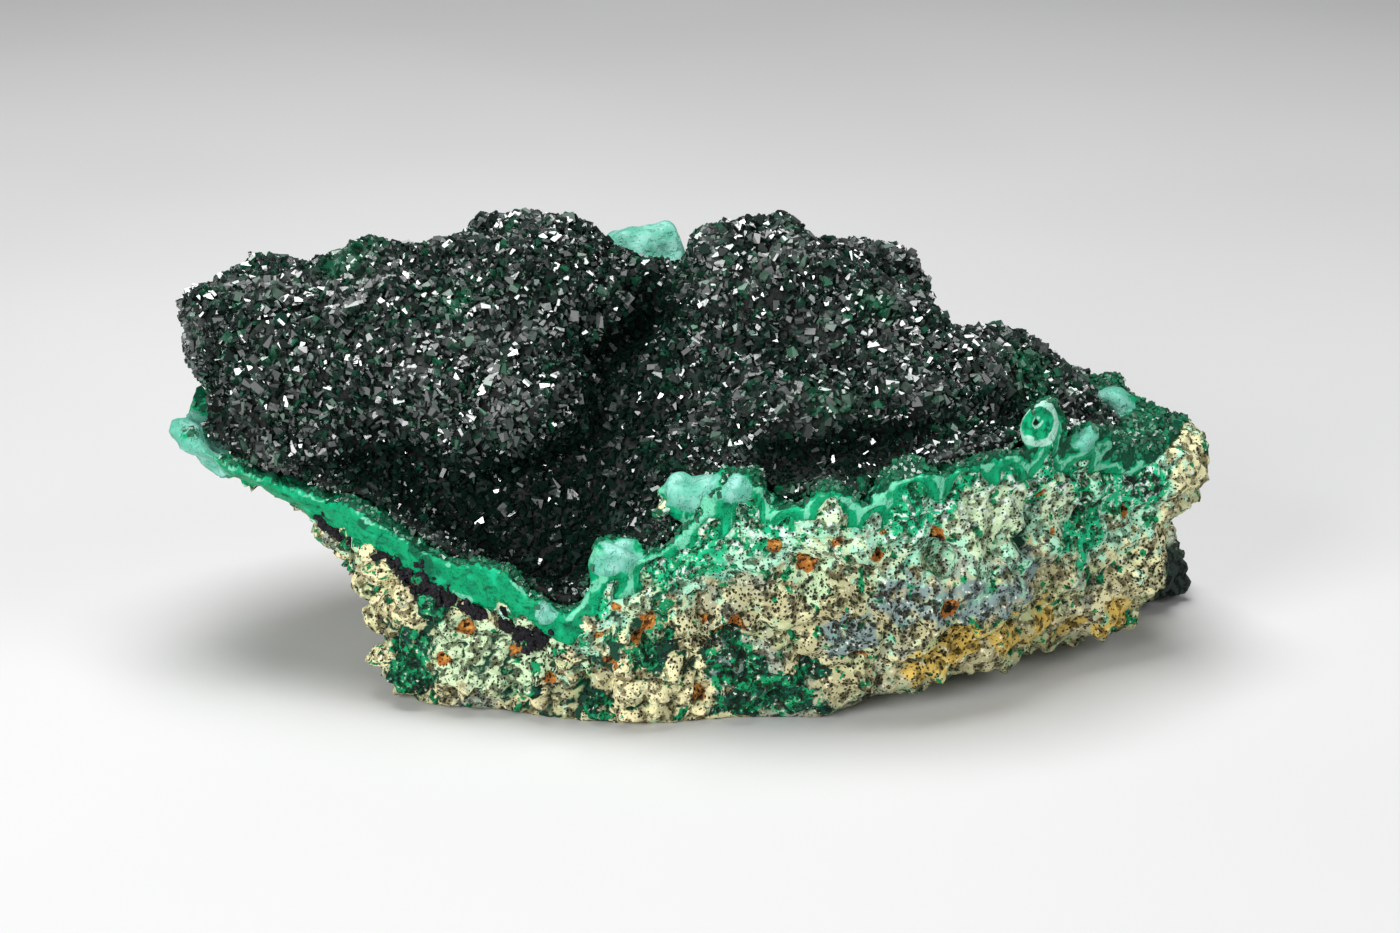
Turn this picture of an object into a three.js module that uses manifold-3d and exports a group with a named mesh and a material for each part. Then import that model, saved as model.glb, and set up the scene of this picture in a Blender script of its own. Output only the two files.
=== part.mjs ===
// Malachite specimen, as it grew: a broken slab of porous host rock, a crust of banded
// malachite along its top, and a druse of dark malachite crystals over rounded lumps.
// Millimetres, +Z up, +X along the length, +Y to the back, origin under the middle of the foot.
import * as THREE from "three";
import { ImprovedNoise } from "three/addons/math/ImprovedNoise.js";
import { mergeVertices } from "three/addons/utils/BufferGeometryUtils.js";
import Module from "manifold-3d";

const wasm = await Module();
wasm.setup();
const noise = new ImprovedNoise();

// Driving dimensions
const LENGTH = 140;
const DEPTH = 68;
const HEIGHT = 60;
const CRUST_THICKNESS = 4;
const DRUSE_THICKNESS = 2;
const DRUSE_SETBACK = 2;
const CLEARANCE = 0.3;
const CRYSTAL_STAND = 1.2;
const CRYSTAL_LENGTH = 5;
const CRYSTAL_WIDTH = [3.2, 6];
const CRYSTAL_TILT = 70;
const CRYSTAL_RAYS = 60;
const KNOB_HOLLOW = 0.7;

// How finely the rounded forms are faceted
const ROCK_DETAIL = 8;
const MASS_DETAIL = 5;
const KNOB_DETAIL = 2;
const HOLLOW_DETAIL = 1;
const BED_ROWS = [-18, -1, 4, 11, 24, 44, 84];
const BED_COLUMN_REACH = 10;

// Colours and finish of the three minerals
const ROCK = { color: 0xb3a878, roughness: 0.95, metalness: 0 };
const MALACHITE = { color: 0x12a070, roughness: 0.5, metalness: 0 };
const CRYSTAL = { color: 0x0b1a14, roughness: 0.2, metalness: 0 };

// The host rock: flat breaks, each by a point on it and the way it faces,
// and rounded swellings that stand out of them, each by its centre and radii.
const ROCK_CENTRE = [0, 0, 22];
const ROCK_ROUNDING = 5;
const BREAKS = [
  { at: [0, -31, 15], out: [0, -1, -0.06] },
  { at: [-38, -23.5, 18], out: [-0.41, -0.91, -0.1] },
  { at: [48, -18, 18], out: [0.55, -0.83, -0.08] },
  { at: [-53, -10, 23], out: [-0.79, -0.1, -0.61] },
  { at: [-69, 0, 38], out: [-1, 0, -0.1] },
  { at: [61, 0, 24], out: [1, -0.1, -0.05] },
  { at: [0, 33, 20], out: [0, 1, -0.12] },
  { at: [-48, 24, 30], out: [-0.5, 0.85, -0.2] },
  { at: [50, 22, 20], out: [0.5, 0.86, -0.05] },
  { at: [46, -20, 5], out: [0.24, -0.24, -0.94] },
  { at: [0, 26, 3], out: [0, 0.45, -0.89] },
  { at: [0, 0, -4], out: [0, 0, -1] },
  { at: [0, 0, 60], out: [0, 0, 1] },
  { at: [62, 0, 33], out: [0.6, 0, 0.8] },
];
const SWELLINGS = [
  { at: [-33, -19, 6], radii: [9, 8, 9] },
  { at: [-8, -21.5, 6], radii: [12, 8, 8] },
  { at: [9, -20.5, 5], radii: [9, 8, 8] },
  { at: [-58, -1, 33], radii: [11, 14, 7] },
  { at: [61, -1, 26], radii: [9, 9, 7.5] },
  { at: [53, -4, 12], radii: [10, 9, 7] },
  { at: [62, 15, 5], radii: [8, 9, 7] },
  { at: [30, -19, 15], radii: [16, 10, 8] },
];
const ROCK_RELIEF = [
  { size: 13, height: 1.8 },
  { size: 5.5, height: 1 },
];

// The bed that the crust makes: its front edge and the ridge behind it, left to right.
const RIM = [
  { x: -70, y: -4, z: 34 },
  { x: -60, y: -13, z: 29.5 },
  { x: -49, y: -18, z: 26.5 },
  { x: -40, y: -23, z: 25 },
  { x: -33, y: -26, z: 21.8 },
  { x: -22, y: -30, z: 18.6 },
  { x: -16, y: -31, z: 15.8 },
  { x: -11, y: -31, z: 22 },
  { x: -4, y: -31, z: 24.5 },
  { x: 2, y: -31, z: 30.5 },
  { x: 22, y: -31, z: 31 },
  { x: 34, y: -28, z: 35 },
  { x: 46, y: -22, z: 36 },
  { x: 58, y: -12, z: 32 },
  { x: 70, y: 0, z: 38 },
];
const RIDGE = [
  { x: -70, y: 10, z: 40 },
  { x: -45, y: 12, z: 46 },
  { x: -15, y: 14, z: 47 },
  { x: 0, y: 14, z: 44 },
  { x: 12, y: 14, z: 47 },
  { x: 30, y: 12, z: 42 },
  { x: 46, y: 10, z: 34 },
  { x: 70, y: 8, z: 38 },
];
const BACK_FALL = 0.55;
const TROUGH = { behind: 9, width: 8, depth: 3 };
const VALLEY = { x: -23, width: 14, depth: 5.5 };

// Two rounded masses under the crystals, each a cluster of lumps that run together.
const LUMP_ROUNDING = 6;
const MASS_STRETCH = new THREE.Vector3(1.4, 1, 0.8);
const MASSES = [
  {
    centre: [-38, 2, 39],
    lumps: [
      { at: [-58, 4, 43], radii: [12, 14, 10] },
      { at: [-51, -7, 34], radii: [12, 10, 8] },
      { at: [-41, 2, 44], radii: [15, 17, 12] },
      { at: [-27, -8, 38], radii: [16, 12, 11] },
      { at: [-21, 6, 48.5], radii: [15, 15, 11] },
      { at: [-4, 10, 44], radii: [8, 9, 8] },
    ],
  },
  {
    centre: [21, 2, 36],
    lumps: [
      { at: [0, -1, 38], radii: [8, 11, 9] },
      { at: [9, 5, 48.5], radii: [13, 14, 11.5] },
      { at: [13, -14, 36.5], radii: [9.5, 8.5, 8] },
      { at: [23, 5, 45], radii: [12, 14, 11] },
      { at: [31, -9, 38], radii: [11, 11, 8.5] },
      { at: [42, 2, 36], radii: [10, 12, 9] },
      { at: [52, -2, 30], radii: [8, 8, 6] },
    ],
  },
];
const LUMP_RELIEF = [
  { size: 8, height: 1.7 },
  { size: 3.5, height: 0.6 },
];

// Bare rounded knobs of the crust: scallops along its broken edge and pale domes.
const KNOBS = [
  { at: [-45, -19, 22], radii: [7, 5, 5] },
  { at: [-28, -28, 15.5], radii: [7, 6, 6] },
  { at: [-9.8, -28.5, 21.5], radii: [3.6, 3.2, 4.4] },
  { at: [-0.2, -26, 30.3], radii: [4.5, 3.2, 3.2] },
  { at: [6, -29, 29], radii: [4.5, 6, 5.5] },
  { at: [17, -30, 28], radii: [4, 5, 5] },
  { at: [28, -28, 30], radii: [6, 6, 5] },
  { at: [45.5, -21, 37.5], radii: [3.5, 3.5, 4] },
  { at: [52, -16, 32], radii: [4.5, 5, 4] },
  { at: [57, 4, 30], radii: [5, 5, 5] },
  { at: [-7, 22, 43.5], radii: [8, 6.5, 8.5] },
  { at: [6, 25, 38], radii: [6.5, 6, 6] },
];

// Rounded vugs in the broken front of the rock.
const VUGS = [
  { at: [45, -21, 31], radius: 2.2 },
  { at: [32, -28, 22], radius: 2.2 },
  { at: [15, -31.5, 20], radius: 2.4 },
  { at: [5, -31.5, 12], radius: 2 },
  { at: [34, -28, 11], radius: 2.6 },
];

// One repeatable stream of numbers from 0 to 1 for the crystals' turns and sizes.
function numberStream(seed) {
  let state = seed;
  return () => {
    state = (state * 1664525 + 1013904223) % 4294967296;
    return state / 4294967296;
  };
}

function between([low, high], share) {
  return low + (high - low) * share;
}

function smoothShare(value) {
  const share = Math.min(1, Math.max(0, value));
  return share * share * (3 - 2 * share);
}

// One coordinate along a row of points that is sorted by x.
function follow(row, x, key) {
  const last = row.length - 1;
  if (x <= row[0].x) return row[0][key];
  if (x >= row[last].x) return row[last][key];
  const next = row.findIndex((point) => point.x > x);
  const before = row[next - 1];
  const after = row[next];
  const share = smoothShare((x - before.x) / (after.x - before.x));
  return between([before[key], after[key]], share);
}

function relief(point, layers) {
  return layers.reduce(
    (sum, { size, height }) =>
      sum + height * noise.noise(point.x / size, point.y / size, point.z / size),
    0,
  );
}

// A closed geometry as a solid that can be joined and cut.
function solid(geometry) {
  geometry.deleteAttribute("normal");
  geometry.deleteAttribute("uv");
  const merged = mergeVertices(geometry, 1e-4);
  return new wasm.Manifold(
    new wasm.Mesh({
      numProp: 3,
      vertProperties: new Float32Array(merged.getAttribute("position").array),
      triVerts: new Uint32Array(merged.index.array),
    }),
  );
}

function geometryOf(body) {
  const mesh = body.getMesh();
  const geometry = new THREE.BufferGeometry();
  geometry.setAttribute("position", new THREE.BufferAttribute(mesh.vertProperties, 3));
  geometry.setIndex(new THREE.BufferAttribute(mesh.triVerts, 1));
  const faceted = geometry.toNonIndexed();
  faceted.computeVertexNormals();
  return faceted;
}

// Moves every vertex of a geometry by a function of its place.
function reshape(geometry, move) {
  const position = geometry.getAttribute("position");
  const point = new THREE.Vector3();
  for (let i = 0; i < position.count; i += 1) {
    move(point.fromBufferAttribute(position, i));
    position.setXYZ(i, point.x, point.y, point.z);
  }
  return geometry;
}

function ellipsoidDistance(point, { at, radii }) {
  const shares = point.toArray().map((value, axis) => (value - at[axis]) / radii[axis]);
  return (Math.hypot(...shares) - 1) * Math.min(...radii);
}

// The nearer of two distances, with the crease between the two forms filled in.
function joined(first, second, rounding) {
  const overlap = Math.max(0, rounding - Math.abs(first - second)) / rounding;
  return Math.min(first, second) - (overlap * overlap * rounding) / 4;
}

// Distance outside the rock: the breaks with worn edges, and the swellings.
function rockDistance(point) {
  const wear = ROCK_ROUNDING / 2;
  const breaks = BREAKS.reduce((sum, { at, out }) => {
    const facing = new THREE.Vector3(...out).normalize();
    const apart = facing.dot(point.clone().sub(new THREE.Vector3(...at)));
    return sum + Math.exp(apart / wear);
  }, 0);
  const swollen = SWELLINGS.reduce(
    (nearest, swelling) =>
      joined(nearest, ellipsoidDistance(point, swelling), ROCK_ROUNDING),
    Math.log(breaks) * wear,
  );
  return swollen + relief(point, ROCK_RELIEF);
}

function massDistance(point, lumps) {
  const merged = lumps.reduce(
    (nearest, lump) => joined(nearest, ellipsoidDistance(point, lump), LUMP_ROUNDING),
    LENGTH,
  );
  return merged + relief(point, LUMP_RELIEF) + CRYSTAL_STAND;
}

// The outermost point of a form along a ray from its centre.
function surfacePoint(centre, direction, distance) {
  const step = 1;
  const point = new THREE.Vector3();
  let inside = LENGTH;
  do {
    inside -= step;
    point.copy(centre).addScaledVector(direction, inside);
  } while (inside > 0 && distance(point) > 0);
  let outside = inside + step;
  for (let halving = 0; halving < 12; halving += 1) {
    const middle = (inside + outside) / 2;
    point.copy(centre).addScaledVector(direction, middle);
    if (distance(point) > 0) outside = middle;
    else inside = middle;
  }
  return point;
}

// A form as a ball whose vertices slide out along their rays to the form's surface.
function inflated(detail, centre, stretch, distance) {
  const middle = new THREE.Vector3(...centre);
  const ball = new THREE.IcosahedronGeometry(1, detail);
  return solid(
    reshape(ball, (point) => {
      const direction = point.clone().multiply(stretch).normalize();
      point.copy(surfacePoint(middle, direction, distance));
    }),
  );
}

function rockBlock(setback) {
  const stretch = new THREE.Vector3(LENGTH, DEPTH, HEIGHT);
  const distance = (point) => rockDistance(point) + setback;
  return inflated(ROCK_DETAIL, ROCK_CENTRE, stretch, distance);
}

// Height of the crust's top over the plan.
function bedHeight(x, y) {
  const rim = { y: follow(RIM, x, "y"), z: follow(RIM, x, "z") };
  const ridge = { y: follow(RIDGE, x, "y"), z: follow(RIDGE, x, "z") };
  if (y > ridge.y) return ridge.z - (y - ridge.y) * BACK_FALL;
  const behind = y - rim.y;
  const rise = (ridge.z - rim.z) * smoothShare(behind / (ridge.y - rim.y));
  const dip = Math.exp(-(((behind - TROUGH.behind) / TROUGH.width) ** 2));
  const sunk = VALLEY.depth * Math.exp(-(((x - VALLEY.x) / VALLEY.width) ** 2));
  return rim.z + rise - dip * (TROUGH.depth + sunk) * smoothShare(behind / TROUGH.behind);
}

// Lines across the bed: one past each end, one at each point of the front edge,
// and one halfway where two points are far apart.
function bedColumns() {
  const along = RIM.map((point) => point.x);
  const halfway = along
    .slice(1)
    .map((x, i) => [(x + along[i]) / 2, x - along[i]])
    .filter(([, apart]) => apart >= BED_COLUMN_REACH)
    .map(([x]) => x);
  const ends = [-LENGTH * 0.6, LENGTH * 0.6];
  return [...along, ...halfway, ...ends].sort((a, b) => a - b);
}

// Everything under the bed, raised or lowered by an amount.
function underBed(raise) {
  const lines = bedColumns();
  const columns = lines.length - 1;
  const rows = BED_ROWS.length - 1;
  const box = new THREE.BoxGeometry(columns, rows, 2, columns, rows, 1);
  return solid(
    reshape(box, (point) => {
      point.x = lines[Math.round(point.x + columns / 2)];
      const row = Math.round(point.y + rows / 2);
      point.y = follow(RIM, point.x, "y") + BED_ROWS[row];
      point.z = point.z > 0 ? bedHeight(point.x, point.y) + raise : -HEIGHT;
    }),
  );
}

function aboveFloor() {
  const box = new THREE.BoxGeometry(LENGTH * 2, DEPTH * 2, HEIGHT * 2);
  return solid(box.translate(0, 0, HEIGHT));
}

function roundLump(at, radii, detail) {
  const ball = new THREE.IcosahedronGeometry(1, detail);
  return solid(ball.scale(...radii).translate(...at));
}

function allKnobs(growth, detail) {
  const grown = (radii) => radii.map((radius) => radius + growth);
  return wasm.Manifold.union(
    KNOBS.map(({ at, radii }) => roundLump(at, grown(radii), detail)),
  );
}

// A blocky tapered crystal, rooted in a mass, whose tip stands out of it at a point.
function crystal(point, outward, next) {
  const width = between(CRYSTAL_WIDTH, next());
  const prism = new THREE.CylinderGeometry(width * 0.4, width * 0.6, CRYSTAL_LENGTH, 4);
  prism.translate(0, CRYSTAL_STAND - CRYSTAL_LENGTH / 2, 0);
  prism.scale(1, 1, between([0.5, 1], next()));
  prism.rotateY(next() * Math.PI);
  const tilt = THREE.MathUtils.degToRad(CRYSTAL_TILT);
  const lean = new THREE.Euler((next() - 0.5) * tilt, 0, (next() - 0.5) * tilt);
  prism.applyMatrix4(new THREE.Matrix4().makeRotationFromEuler(lean));
  const upright = new THREE.Vector3(0, 1, 0);
  prism.applyQuaternion(new THREE.Quaternion().setFromUnitVectors(upright, outward));
  return solid(prism.translate(...point.toArray()));
}

// Crystals spread evenly over a mass, along rays that turn by the golden angle.
function crystalsOn({ centre, lumps }, seed) {
  const next = numberStream(seed);
  const middle = new THREE.Vector3(...centre);
  const golden = Math.PI * (3 - Math.sqrt(5));
  const grown = [];
  for (let ray = 0; ray < CRYSTAL_RAYS; ray += 1) {
    const z = 1 - (2 * ray + 1) / CRYSTAL_RAYS;
    const around = Math.sqrt(1 - z * z);
    const direction = new THREE.Vector3(
      around * Math.cos(golden * ray),
      around * Math.sin(golden * ray),
      z,
    );
    direction.multiply(MASS_STRETCH).normalize();
    const point = surfacePoint(middle, direction, (place) => massDistance(place, lumps));
    if (point.z > bedHeight(point.x, point.y) + DRUSE_THICKNESS)
      grown.push(crystal(point, direction, next));
  }
  return grown;
}

function crystalMass({ centre, lumps }) {
  return inflated(MASS_DETAIL, centre, MASS_STRETCH, (point) => massDistance(point, lumps));
}

function hostRock(block) {
  const vugs = VUGS.map(({ at, radius }) =>
    roundLump(at, [radius, radius, radius], HOLLOW_DETAIL),
  );
  return block
    .intersect(underBed(-CRUST_THICKNESS - CLEARANCE))
    .intersect(aboveFloor())
    .subtract(wasm.Manifold.union(vugs));
}

function malachiteCrust(block) {
  return underBed(0)
    .add(allKnobs(0, KNOB_DETAIL))
    .intersect(block)
    .subtract(underBed(-CRUST_THICKNESS));
}

function crystalDruse() {
  const skin = rockBlock(DRUSE_SETBACK).intersect(underBed(CLEARANCE + DRUSE_THICKNESS));
  const masses = MASSES.map(crystalMass);
  const crystals = MASSES.flatMap(crystalsOn);
  return wasm.Manifold.union([skin, ...masses, ...crystals])
    .subtract(underBed(CLEARANCE))
    .subtract(allKnobs(KNOB_HOLLOW, HOLLOW_DETAIL));
}

function largestPiece(body) {
  return body.decompose().reduce((best, piece) => (piece.volume() > best.volume() ? piece : best));
}

function piece(name, body, finish) {
  const mesh = new THREE.Mesh(
    geometryOf(largestPiece(body)),
    new THREE.MeshStandardMaterial(finish),
  );
  mesh.name = name;
  return mesh;
}

const block = rockBlock(0);
const specimen = new THREE.Group();
specimen.name = "malachite_specimen";
specimen.add(
  piece("host_rock", hostRock(block), ROCK),
  piece("malachite_crust", malachiteCrust(block), MALACHITE),
  piece("crystal_druse", crystalDruse(), CRYSTAL),
);

// The foot stands on the floor, with the origin under the middle of the whole.
const whole = new THREE.Box3().setFromObject(specimen);
const middle = whole.getCenter(new THREE.Vector3());
specimen.position.set(-middle.x, -middle.y, -whole.min.z);

export default specimen;
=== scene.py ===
"""Looks of a malachite specimen: porous host rock, banded malachite crust, dark drusy crystals."""

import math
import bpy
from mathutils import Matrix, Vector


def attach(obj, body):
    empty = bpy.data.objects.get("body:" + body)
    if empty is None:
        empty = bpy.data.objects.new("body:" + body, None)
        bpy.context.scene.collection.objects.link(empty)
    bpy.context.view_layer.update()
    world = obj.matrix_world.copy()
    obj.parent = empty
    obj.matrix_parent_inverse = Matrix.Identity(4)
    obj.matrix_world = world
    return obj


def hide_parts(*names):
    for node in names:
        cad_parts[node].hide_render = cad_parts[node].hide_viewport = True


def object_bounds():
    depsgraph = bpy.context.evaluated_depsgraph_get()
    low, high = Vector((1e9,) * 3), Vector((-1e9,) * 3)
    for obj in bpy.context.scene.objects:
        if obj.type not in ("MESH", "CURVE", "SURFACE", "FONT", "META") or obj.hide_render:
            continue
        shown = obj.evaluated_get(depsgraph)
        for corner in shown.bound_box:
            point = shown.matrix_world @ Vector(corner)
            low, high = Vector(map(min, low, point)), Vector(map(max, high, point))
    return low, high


bl_info = {
    "name": "Malachite Specimen",
    "version": (1, 0, 0),
    "blender": (4, 5, 0),
    "location": "3D View > Sidebar > Specimen",
    "description": "Dresses the solids of a malachite specimen in rock, crust and crystals",
    "category": "Mesh",
}

import bmesh
import bpy
import numpy as np
from bpy.props import FloatProperty, FloatVectorProperty, IntProperty, PointerProperty
from mathutils import Vector, noise
from mathutils.bvhtree import BVHTree

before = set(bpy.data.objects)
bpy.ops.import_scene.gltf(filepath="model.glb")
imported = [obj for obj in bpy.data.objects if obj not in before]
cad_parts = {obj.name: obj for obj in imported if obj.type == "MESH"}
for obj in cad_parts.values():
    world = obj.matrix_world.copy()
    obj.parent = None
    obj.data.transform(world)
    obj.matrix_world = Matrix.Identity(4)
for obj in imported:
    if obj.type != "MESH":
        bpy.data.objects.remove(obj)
CAD_LOW, CAD_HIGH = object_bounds()

MM = 0.001

# The photograph's frame and the camera that sees it: it looks along +Y and down at the specimen.
PHOTO_WIDTH = 1400
PHOTO_HEIGHT = 933
LENS = 85.0
SENSOR = 36.0
FOCAL_PIXELS = LENS / SENSOR * PHOTO_WIDTH
CAMERA_TARGET = Vector((0.7, -7.5, 27.0)) * MM
CAMERA_DISTANCE = 443 * MM
CAMERA_ELEVATION = math.radians(20)

# Patches seen in the photograph: pixel across, pixel down, and radius in millimetres.
VUGS = [
    (1028, 462, 2.0), (1045, 494, 1.1), (937, 539, 1.8), (881, 531, 0.9), (878, 556, 0.9),
    (811, 537, 1.1), (837, 541, 1.2), (806, 568, 1.9), (948, 610, 1.9), (857, 656, 1.2),
    (1055, 532, 1.0), (1128, 514, 1.2), (774, 548, 1.3), (736, 621, 1.4), (708, 620, 0.9),
    (720, 633, 1.2), (617, 607, 1.2), (648, 623, 1.6), (638, 641, 1.2), (598, 637, 1.0),
    (609, 664, 1.4), (549, 679, 1.0), (511, 653, 1.0), (465, 627, 1.3), (442, 659, 1.3),
    (700, 700, 1.6),
]
STAINS = {
    "turquoise": [(690, 545, 7), (775, 520, 6), (850, 510, 8), (925, 500, 8), (1000, 470, 7)],
    "slate": [(965, 605, 6), (1020, 585, 7), (900, 600, 5), (850, 640, 5), (745, 680, 5)],
    "ochre": [
        (965, 645, 5), (1010, 635, 5), (1045, 622, 4), (920, 662, 4), (1075, 630, 4), (1110, 620, 4),
    ],
    "deep_green": [
        (400, 665, 6), (430, 605, 4), (520, 690, 4), (590, 700, 5), (660, 640, 3), (770, 690, 8),
        (745, 665, 6), (650, 660, 3), (1090, 515, 4), (1140, 480, 3),
    ],
    "emerald": [
        (1000, 455, 5), (1060, 480, 7), (1115, 490, 7), (1145, 475, 4), (1090, 530, 5), (905, 505, 5),
        (945, 500, 5), (600, 600, 4), (660, 565, 4), (700, 555, 4), (780, 520, 3),
    ],
    "cream": [
        (1195, 465, 9), (690, 690, 6), (480, 640, 5), (620, 650, 5), (1140, 540, 6), (640, 700, 5),
    ],
    "pale": [
        (530, 640, 7), (490, 655, 8), (640, 600, 5), (840, 545, 8), (990, 520, 7), (1060, 505, 4),
    ],
    "shaded": [(1178, 580, 7)],
    "porous": [
        (760, 610, 6), (860, 625, 9), (920, 640, 6), (1155, 565, 5), (700, 640, 5), (560, 660, 5),
    ],
}
MINT_DOMES = [
    (690, 480, 4.6), (737, 490, 2.3), (622, 545, 3.4), (1078, 437, 2.4), (1110, 395, 4.0),
    (650, 240, 13.0), (185, 420, 5.0), (205, 460, 4.0), (548, 612, 1.6), (608, 562, 2.0),
]
FOLDS = [(418, 545, 1.6), (426, 562, 1.4), (366, 520, 1.2)]
GREEN_DRUSE = [(345, 262, 6), (830, 395, 4), (1030, 375, 6), (450, 300, 4), (880, 300, 4)]
# Patches of painted shade on the druse, under the lumps' overhangs and in the valley.
SHADED_DRUSE = [
    (560, 550, 12), (510, 495, 11), (600, 480, 10), (625, 410, 8), (640, 345, 5), (780, 470, 7),
    (860, 462, 7),
]
WORN_DRUSE = [(922, 266, 9)]

# Spots seen in the photograph: pixel across and pixel down.
RING_KNOB = (1039, 423)
OXIDE_PATH = [
    (320, 522), (350, 540), (385, 556), (420, 582), (450, 598), (480, 613), (510, 627), (545, 642),
]

# Stretches along X over which one kind of surface gives way to the next.
COPPER_START = (-22 * MM, -6 * MM)
PLAIN_BAND_END = (-18 * MM, -9 * MM)
ARCHES_START = -14 * MM
COARSE_GRIT_END = (-6 * MM, 14 * MM)
COPPER_SPREAD = (20 * MM, 42 * MM)
END_BAND_START = (34 * MM, 46 * MM)
COPPER_END = (60 * MM, 65 * MM)

# Distances from the middle of the ringed knob over which its parts begin or end.
HOLE_RADII = (0.35 * MM, 0.55 * MM)
RIM_RADII = (0.5 * MM, 0.6 * MM, 0.8 * MM, 1.0 * MM)
RING_RADII = (1.7 * MM, 2.4 * MM, 2.9 * MM, 3.7 * MM)
KNOB_RADII = (2.8 * MM, 3.4 * MM)
DENT_RADII = (0.2 * MM, 2.4 * MM)

# Noise on the surfaces: width of its coarsest waves, octaves and seed.
STAIN_EDGES = (7 * MM, 4, 4)
RIPPLES = (2.2 * MM, 2, 5)
ROCK_SWELLS = (9 * MM, 3, 9)
DOME_LUMPS = (5.5 * MM, 2, 14)
NODULE_LUMPS = (0.8 * MM, 2, 15)
CRUMBS = (2.9 * MM, 3, 16)
VUG_EDGES = (1.8 * MM, 2, 17)
GRIT_LIMIT = (12 * MM, 2, 18)
SEAM_BREAKS = (6 * MM, 2, 19)
BAND_EDGE = (5 * MM, 2, 20)
GRIT_BENDS = (2.5 * MM, 2, 21)
CLUSTER_BENDS = (8 * MM, 2, 24)
TOP_LUMPS = (2.6 * MM, 3, 27)
FROST = (6 * MM, 2, 34)

# How noise fades and narrows from octave to octave, and steps that set its seeds and lots apart.
NOISE_FALL = 1.0
NOISE_STEP = 2.0
SEED_STEP = 31.7
LOT_STEP = 9.7

# Lengths, shares and facings that shape the rock, the crust and the lumps.
MERGE_DISTANCE = 0.001 * MM
FOOT_FADE = (0.2 * MM, 2 * MM)
# Depths below the relief over which the painted shade in crevices starts and is full.
CREVICE_SHADE_DEPTHS = (0.8 * MM, 2.4 * MM)
GRIT_WANDER = 8 * MM
CLUSTER_BEND = 3 * MM
LUMP_RISE = 0.3
LOBE_RISE = 0.35
SEAM_RISE = 0.4 * MM
SEAM_SLOPE = 0.5
SEAM_SWELLS = 4 * MM
THINNEST_SEAM = 0.5
ARCH_RADII = (0.36, 0.64)
ARCH_STEP = 1.7
TOP_FACING = 0.3
EDGE_FACING = 0.35

# Where crystals grow, and how much of the space round each is shut off, which darkens the crystals there as
# painted shade.
CRUST_CLEARANCE = 0.45 * MM
RIM_GROWTH = (2 * MM, 10 * MM)
GREEN_RIM = (0.8 * MM, 3.5 * MM)
RIM_STRIP = 6 * MM
RIM_FACING = 0.45
COVER_REACH = 5 * MM
DOME_MARGIN = 0.05
SMALLEST_AREA = 1e-15
SHELTER_RAYS = 8
SHELTER_SPREAD = 0.8
SHELTER_LIFT = 0.4 * MM
SHELTER_REACH = 30 * MM
# How far the patches of painted shade count as sheltered.
SHADE_PATCH_CLOSING = 0.8

# How many forms crystals have, and their sizes as shares of a usual length.
COARSE_FORMS = 8
FINE_FORMS = 6
RIM_FORMS = 4
SIZE_SPREAD = 0.34
LARGEST = 2.0
WIDTHS = (0.6, 1.05)
THICKNESSES = (0.3, 0.8)
CRYSTAL_HEIGHT = 1.3
CRYSTAL_LIFT = 0.1

# Share of bright crystals on the lumps, and what is added to it in the patches of painted shade.
BRIGHT_SHARE = 0.08
BRIGHT_IN_SHADE = 0.07

# Finishes: roughness and fine relief of the rock, and what is left of them on the green band.
ROCK_ROUGHNESS = 0.85
BAND_ROUGHNESS = 0.45
BAND_RELIEF = 0.15
ROCK_BUMP = 1.2 * MM
PORE_DROP = 0.6
DOT_RAGGEDNESS = 0.8

# Sockets of a Mix node that mixes colours.
MIX_SHARE = 0
MIX_UNDER = 6
MIX_OVER = 7
MIX_RESULT = 2


def linear(code):
    """A colour given as sRGB hex, as linear red, green, blue and alpha."""
    parts = [int(code[i : i + 2], 16) / 255 for i in (0, 2, 4)]
    return tuple(c / 12.92 if c <= 0.04045 else ((c + 0.055) / 1.055) ** 2.4 for c in parts) + (1.0,)


def add_node(tree, kind, sockets=None, **settings):
    """Adds one node. A socket is given a value, or another node's output to link to."""
    node = tree.nodes.new(kind)
    for name, value in settings.items():
        setattr(node, name, value)
    for key, value in (sockets or {}).items():
        if isinstance(value, bpy.types.NodeSocket):
            tree.links.new(value, node.inputs[key])
        else:
            node.inputs[key].default_value = value
    return node


def new_material(name):
    """An empty material, its node tree and the Object coordinates that its patterns read."""
    material = bpy.data.materials.new(name)
    material.use_nodes = True
    tree = material.node_tree
    tree.nodes.clear()
    place = add_node(tree, "ShaderNodeTexCoord").outputs["Object"]
    return material, tree, place


def coat(colour, size, level, **more):
    """A layer of one colour, in patches of a size in millimetres where its noise passes a level.

    The level's two numbers are where the colour starts to show and where it covers. More can give a
    mask, the attribute that raises the noise by its reach, the noise's detail, dots, strewn that many
    times closer than the patches, and how the colour blends.
    """
    return {"colour": colour, "size": size, "level": level, "detail": 2.0, "blend": "MIX", **more}


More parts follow.
